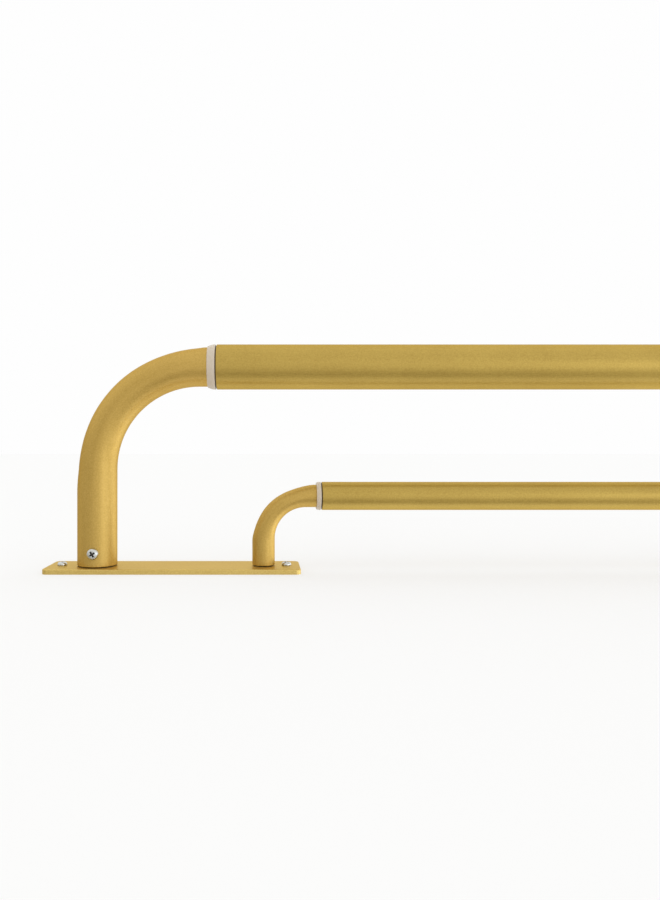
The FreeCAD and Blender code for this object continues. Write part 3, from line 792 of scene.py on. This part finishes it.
for end in ENDS:
    plate_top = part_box(f"{end}_wall_plate")[1].z
    places, nodes = [], []
    for place, turn in WALL_TURN.items():
        node = f"{end}_{place}_wall_screw"
        places.append(((centre_of(node).x, 0, plate_top), OUT, turn))
        nodes.append(node)
    set_screws(f"{end}_wall_screws", f"{end}_end", sources["wall"], places, nodes)

    places, nodes = [], []
    for pole in POLES:
        node = f"{end}_{pole}_post_screw"
        places.append(((centre_of(node).x, 0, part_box(node)[0].z), IN, POST_TURN))
        nodes.append(node)
    set_screws(f"{end}_post_screws", f"{end}_end", sources["post"], places, nodes)

    for pole in POLES:
        node = f"{end}_{pole}_lock_screw"
        side = LOCK_SIDE[pole]
        centre = centre_of(node)
        seat = (centre.x, side * END_RADIUS[pole], centre.z)
        places = [(seat, Vector((0, side, 0)), LOCK_TURN[pole])]
        set_screws(f"{end}_{pole}_leg_screw", f"{end}_end", sources[f"{pole}_lock"], places, [node])

for source in sources.values():
    bpy.data.objects.remove(source)


# Centre tubes. Each is a straight length of the same welded steel tube, one size wider, lacquered like the
# end tubes. Both end tubes slide inside it. Its rims are rounded off where they meet the plastic collars.

MOUTH_ROUND = 0.34 * MM

for pole in POLES:
    node = f"{pole}_centre_tube"
    low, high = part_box(node)
    radius = (high.y - low.y) / 2
    axis_z = (low.z + high.z) / 2
    route = [(low.x, 0, axis_z), (high.x, 0, axis_z)]
    tube = swept(f"{pole}_middle_tube", route, [0, 0], radius, 1, lacquers["centre_tube"])
    give_wall(tube, MOUTH_ROUND)
    finished(tube)
    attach(tube, f"{pole}_tube")
    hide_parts(node)


# Collars. Each is a milky nylon ring, moulded in one piece and pressed in: a short nose that stands out of
# the centre tube's mouth, and a thin sleeve that lines it. It guides the end tube and hides the raw rim.

COLLAR_STEPS = 128
NOSE_STEPS = 8
# Sizes in mm. The lip is what stands out of the tube with its groove, and bore, rim and sleeve are radii.
COLLAR = {
    "front": {"lip": 5.1, "nose": 3.4, "drop": 0.95, "bore": 11.175, "rim": 12.7, "sleeve": 11.95},
    "back": {"lip": 3.1, "nose": 1.6, "drop": 0.35, "bore": 6.425, "rim": 7.95, "sleeve": 7.2},
}
# The groove's width, and how near to it and how far in from the rim a place takes the groove's painted shade
COLLAR_SEAM = 0.6
SEAM_REACH = 0.1
SEAM_DEPTH = 0.2
NOSE_CURVE = 1.3
COLLAR_EDGE = 0.3 * MM
COLLAR_EDGE_ANGLE = math.radians(50)

NYLON_LIGHT = "#D5C8B8"
NYLON_DARK = "#C1B4A5"
# The groove's painted shade, for the shadow under the tube's rim
SEAM_PAINTED_SHADE = "#4E4232"
MOULD_GRAIN = 0.8 * MM
MOULD_HEIGHT = 0.006 * MM


def milky_nylon():
    """Natural nylon as it leaves the mould: milky, a little see-through, with a low waxy shine.

    The groove under the tube's rim is painted dark brown, as painted shade for the shadow in it. The seam
    attribute marks it.
    """
    material, tree = new_material("milky_nylon")
    place = add(tree, "ShaderNodeTexCoord").outputs["Object"]
    cloud = add(tree, "ShaderNodeTexNoise", {"Vector": place, "Scale": 1 / MOULD_GRAIN, "Detail": 2.0})
    colours = {0: cloud.outputs[0], 6: linear(NYLON_DARK), 7: linear(NYLON_LIGHT)}
    colour = add(tree, "ShaderNodeMix", colours, data_type="RGBA")
    seam = add(tree, "ShaderNodeAttribute", attribute_name="seam").outputs["Fac"]
    colours = {0: seam, 6: colour.outputs[2], 7: linear(SEAM_PAINTED_SHADE)}
    colour = add(tree, "ShaderNodeMix", colours, data_type="RGBA")
    rough = {"Value": cloud.outputs[0], "To Min": 0.34, "To Max": 0.44}
    roughness = add(tree, "ShaderNodeMapRange", rough)
    bump = add(tree, "ShaderNodeBump", {"Height": cloud.outputs[0], "Distance": MOULD_HEIGHT})
    finish = {
        "Base Color": colour.outputs[2],
        "Roughness": roughness.outputs[0],
        "Normal": bump.outputs[0],
        "IOR": 1.53,
        "Subsurface Weight": 0.35,
        "Subsurface Radius": (1.0, 0.85, 0.7),
        "Subsurface Scale": 1.2 * MM,
    }
    shader = add(tree, "ShaderNodeBsdfPrincipled", finish)
    add(tree, "ShaderNodeOutputMaterial", {"Surface": shader.outputs[0]})
    return material


def collar_section(sizes, length):
    """Half the collar's section: the sloping nose, the step down under the tube's rim, and the sleeve."""
    bore, rim, drop, nose = (sizes[word] * MM for word in ("bore", "rim", "drop", "nose"))
    shoulder = (sizes["lip"] - COLLAR_SEAM) * MM
    sleeve = sizes["sleeve"] * MM
    section = [(bore, 0)]
    for step in range(NOSE_STEPS + 1):
        along = step / NOSE_STEPS
        section.append((rim - drop * (1 - along) ** NOSE_CURVE, nose * along))
    return section + [(rim, shoulder), (sleeve, shoulder), (sleeve, length), (bore, length)]


nylon = milky_nylon()

for end in ENDS:
    for pole in POLES:
        node = f"{end}_{pole}_collar"
        low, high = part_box(node)
        section = collar_section(COLLAR[pole], high.x - low.x)
        ring = new_piece(f"{end}_{pole}_ring", turned_mesh("collar", section, COLLAR_STEPS, closed=True))
        # The places in the groove, which take its painted shade
        groove_from = (COLLAR[pole]["lip"] - COLLAR_SEAM - SEAM_REACH) * MM
        groove_depth = (COLLAR[pole]["rim"] - SEAM_DEPTH) * MM
        corners = [vertex.co for vertex in ring.data.vertices]
        seam = [float(corner.z > groove_from and corner.xy.length < groove_depth) for corner in corners]
        mark_points(ring.data, "seam", "FLOAT", "value", seam)
        inwards = 1 if end == "left" else -1
        face_x = low.x if end == "left" else high.x
        ring.data.transform(Matrix.Rotation(inwards * math.pi / 2, 4, "Y"))
        ring.data.transform(Matrix.Translation((face_x, 0, (low.z + high.z) / 2)))
        bevel = ring.modifiers.new("edges", "BEVEL")
        bevel.limit_method = "ANGLE"
        bevel.angle_limit = COLLAR_EDGE_ANGLE
        bevel.width = COLLAR_EDGE
        bevel.segments = 3
        finished(ring)
        ring.data.materials.append(nylon)
        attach(ring, f"{pole}_tube")
        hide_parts(node)


# Tail bushes. Each is a hard white plug with a flange, pushed into the end tube's inner end, so that it
# glides in the centre tube. They can't be seen when the pole is whole, and keep their solids' shape.

ACETAL_LIGHT = "#F0EEEA"
ACETAL_DARK = "#E2DFD9"
ACETAL_HEIGHT = 0.003 * MM


def white_acetal():
    """Moulded acetal: opaque, white and smooth, with a soft even shine."""
    material, tree = new_material("white_acetal")
    place = add(tree, "ShaderNodeTexCoord").outputs["Object"]
    cloud = add(tree, "ShaderNodeTexNoise", {"Vector": place, "Scale": 1 / MOULD_GRAIN, "Detail": 2.0})
    colours = {0: cloud.outputs[0], 6: linear(ACETAL_DARK), 7: linear(ACETAL_LIGHT)}
    colour = add(tree, "ShaderNodeMix", colours, data_type="RGBA")
    bump = add(tree, "ShaderNodeBump", {"Height": cloud.outputs[0], "Distance": ACETAL_HEIGHT})
    finish = {"Base Color": colour.outputs[2], "Normal": bump.outputs[0], "Roughness": 0.35, "IOR": 1.48}
    shader = add(tree, "ShaderNodeBsdfPrincipled", finish)
    add(tree, "ShaderNodeOutputMaterial", {"Surface": shader.outputs[0]})
    return material


acetal = white_acetal()
for end in ENDS:
    for pole in POLES:
        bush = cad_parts[f"{end}_{pole}_tail_bush"]
        for slot in bush.material_slots:
            slot.material = acetal


# Studio. A wide white sweep stands in for the wall, at the back of the plates. The room is a plain soft
# light, dimmer and warmer to the left, low in front and in one spot, with a soft bright band in front at the
# height of the poles. A soft box stands to the right of the camera.

FLOOR_REACH = 12.0
FLOOR_COLOUR = "#EDEDF1"
# The sweep's own light as the camera sees it, and its share beside the light that falls on the paper
FLOOR_GLOW = 1.005
FLOOR_LIFT = 0.55
BACKGROUND = 0.991

floor_mesh = bpy.data.meshes.new("floor")
corners = [(-FLOOR_REACH, -FLOOR_REACH, 0), (FLOOR_REACH, -FLOOR_REACH, 0)]
corners += [(FLOOR_REACH, FLOOR_REACH, 0), (-FLOOR_REACH, FLOOR_REACH, 0)]
floor_mesh.from_pydata(corners, [], [(0, 1, 2, 3)])
floor = new_piece("floor", floor_mesh)
floor.visible_glossy = False
paper, tree = new_material("white_paper_sweep")
matt = add(tree, "ShaderNodeBsdfDiffuse", {"Color": linear(FLOOR_COLOUR)})
white = add(tree, "ShaderNodeEmission", {"Strength": FLOOR_GLOW})
seen = add(tree, "ShaderNodeLightPath").outputs["Is Camera Ray"]
lift = add(tree, "ShaderNodeMath", {0: seen, 1: FLOOR_LIFT}, operation="MULTIPLY")
surface = add(tree, "ShaderNodeMixShader", {0: lift.outputs[0], 1: matt.outputs[0], 2: white.outputs[0]})
clear = add(tree, "ShaderNodeBsdfTransparent")
under = add(tree, "ShaderNodeNewGeometry").outputs["Backfacing"]
surface = add(tree, "ShaderNodeMixShader", {0: under, 1: surface.outputs[0], 2: clear.outputs[0]})
add(tree, "ShaderNodeOutputMaterial", {"Surface": surface.outputs[0]})
floor_mesh.materials.append(paper)

# How bright the room is round the poles' length, in degrees: 0 in front, 90 above, -90 below
ROOM_ROUND = [
    (-180, 1.0),
    (-150, 1.2),
    (-100, 1.42),
    (-66, 1.24),
    (-58, 0.45),
    (-38, 0.54),
    (-22, 0.88),
    (-15, 1.08),
    (-8, 1.19),
    (2, 1.13),
    (13, 1.28),
    (22, 1.14),
    (40, 1.05),
    (64, 1.07),
    (90, 1.18),
    (125, 1.22),
    (168, 1.06),
    (180, 1.0),
]
# How bright it is from side to side, as the direction's X
ROOM_BY_SIDE = [(-1, 0.66), (-0.7, 0.71), (-0.37, 0.82), (-0.1, 0.95), (0.1, 0.97)]
ROOM_BY_SIDE += [(0.42, 0.90), (0.55, 1.34), (0.7, 1.74), (1, 1.82)]
# How much the sides count, as the direction's Z
SIDES_BY_HEIGHT = [(-1, 0.05), (-0.7, 0.55), (-0.5, 1.0), (0.05, 1.0), (0.25, 0.5), (0.45, 0.1), (1, 0)]
# A dimmer spot in front, a little to the left
DIM_SPOT_WAY = (-0.40, -0.90, 0.19)
DIM_SPOT_NEAR = 0.985
DIM_SPOT_FAR = 0.90
DIM_SPOT_LEVEL = 0.72
# The dim parts of the room are warm and the bright parts are cool
ROOM_DIM = 0.5
ROOM_BRIGHT = 1.7
ROOM_WARM = "#FFFAE9"
ROOM_COOL = "#F8FCFF"
RAMP_TOP = 2.0


def room_ramp(tree, value, low, high, stops):
    """Brightness by one measure of the direction, as a ramp of greys."""
    place = add(tree, "ShaderNodeMapRange", {"Value": value, "From Min": low, "From Max": high})
    ramp = add(tree, "ShaderNodeValToRGB", {0: place.outputs[0]})
    elements = ramp.color_ramp.elements
    while len(elements) < len(stops):
        elements.new(0.5)
    for element, (part, level) in zip(elements, stops):
        element.position = (part - low) / (high - low)
        element.color = [level / RAMP_TOP] * 3 + [1.0]
    return ramp.outputs[0]


room = bpy.data.worlds.new("studio")
bpy.context.scene.world = room
room.use_nodes = True
tree = room.node_tree
tree.nodes.clear()
way = add(tree, "ShaderNodeTexCoord").outputs["Generated"]
parts = add(tree, "ShaderNodeSeparateXYZ", {0: way}).outputs
forward = add(tree, "ShaderNodeMath", {0: parts["Y"], 1: -1.0}, operation="MULTIPLY")
angle = add(tree, "ShaderNodeMath", {0: parts["Z"], 1: forward.outputs[0]}, operation="ARCTAN2")
angle = add(tree, "ShaderNodeMath", {0: angle.outputs[0]}, operation="DEGREES")
by_angle = room_ramp(tree, angle.outputs[0], -180, 180, ROOM_ROUND)
by_side = room_ramp(tree, parts["X"], -1, 1, ROOM_BY_SIDE)
sides_count = room_ramp(tree, parts["Z"], -1, 1, SIDES_BY_HEIGHT)
sides_count = add(tree, "ShaderNodeMath", {0: sides_count, 1: RAMP_TOP}, operation="MULTIPLY")
by_side = {0: sides_count.outputs[0], 2: 1 / RAMP_TOP, 3: by_side}
by_side = add(tree, "ShaderNodeMix", by_side, data_type="FLOAT")
level = add(tree, "ShaderNodeMath", {0: by_angle, 1: by_side.outputs[0]}, operation="MULTIPLY")
level = add(tree, "ShaderNodeMath", {0: level.outputs[0], 1: RAMP_TOP * RAMP_TOP}, operation="MULTIPLY")
nearness = add(tree, "ShaderNodeVectorMath", {0: way, 1: DIM_SPOT_WAY}, operation="DOT_PRODUCT")
spot = {"Value": nearness.outputs[1], "From Min": DIM_SPOT_FAR, "From Max": DIM_SPOT_NEAR}
spot.update({"To Min": 1, "To Max": DIM_SPOT_LEVEL})
spot = add(tree, "ShaderNodeMapRange", spot, interpolation_type="SMOOTHSTEP")
level = add(tree, "ShaderNodeMath", {0: level.outputs[0], 1: spot.outputs[0]}, operation="MULTIPLY")
range_of_levels = {"Value": level.outputs[0], "From Min": ROOM_DIM, "From Max": ROOM_BRIGHT}
cool_share = add(tree, "ShaderNodeMapRange", range_of_levels)
tints = {0: cool_share.outputs[0], 6: linear(ROOM_WARM), 7: linear(ROOM_COOL)}
tint = add(tree, "ShaderNodeMix", tints, data_type="RGBA")
seen = add(tree, "ShaderNodeLightPath").outputs["Is Camera Ray"]
strength = {0: seen, 2: level.outputs[0], 3: BACKGROUND}
strength = add(tree, "ShaderNodeMix", strength, data_type="FLOAT")
paper_white = {0: seen, 6: tint.outputs[2], 7: linear("#FFFFFF")}
tint = add(tree, "ShaderNodeMix", paper_white, data_type="RGBA")
light = {"Color": tint.outputs[2], "Strength": strength.outputs[0]}
light = add(tree, "ShaderNodeBackground", light)
add(tree, "ShaderNodeOutputWorld", {"Surface": light.outputs[0]})

SOFT_BOX_WAY = 45.0
SOFT_BOX_DISTANCE = 2.5
SOFT_BOX_HEIGHT = 0.2
SOFT_BOX_WIDTH = 0.5
SOFT_BOX_TALL = 0.8
SOFT_BOX_POWER = 2.0

lamp = bpy.data.lights.new("soft_box", "AREA")
lamp.shape = "RECTANGLE"
lamp.size = SOFT_BOX_WIDTH
lamp.size_y = SOFT_BOX_TALL
lamp.energy = SOFT_BOX_POWER
soft_box = new_piece("soft_box", lamp)
way = math.radians(SOFT_BOX_WAY)
soft_box.location = (SOFT_BOX_DISTANCE * math.sin(way), -SOFT_BOX_DISTANCE * math.cos(way), SOFT_BOX_HEIGHT)
soft_box.rotation_euler = (math.pi / 2, 0, way)


# Camera. It looks straight along the wall at the height between the poles, close to the left end.

CAMERA_PLACE = (50.2 * MM, -395 * MM, 68 * MM)
FRAME_HEIGHT = 900
FOCAL_PIXELS = 697
PRINCIPAL_X = 263
MIDDLE_X = 330
SENSOR = 36

lens = bpy.data.cameras.new("camera")
lens.sensor_width = SENSOR
lens.lens = SENSOR * FOCAL_PIXELS / FRAME_HEIGHT
lens.shift_x = (MIDDLE_X - PRINCIPAL_X) / FRAME_HEIGHT
lens.clip_start = 10 * MM
camera = new_piece("camera", lens)
camera.location = CAMERA_PLACE
camera.rotation_euler = (math.pi / 2, 0, 0)
bpy.context.scene.camera = camera
bpy.context.scene.view_settings.view_transform = "Standard"
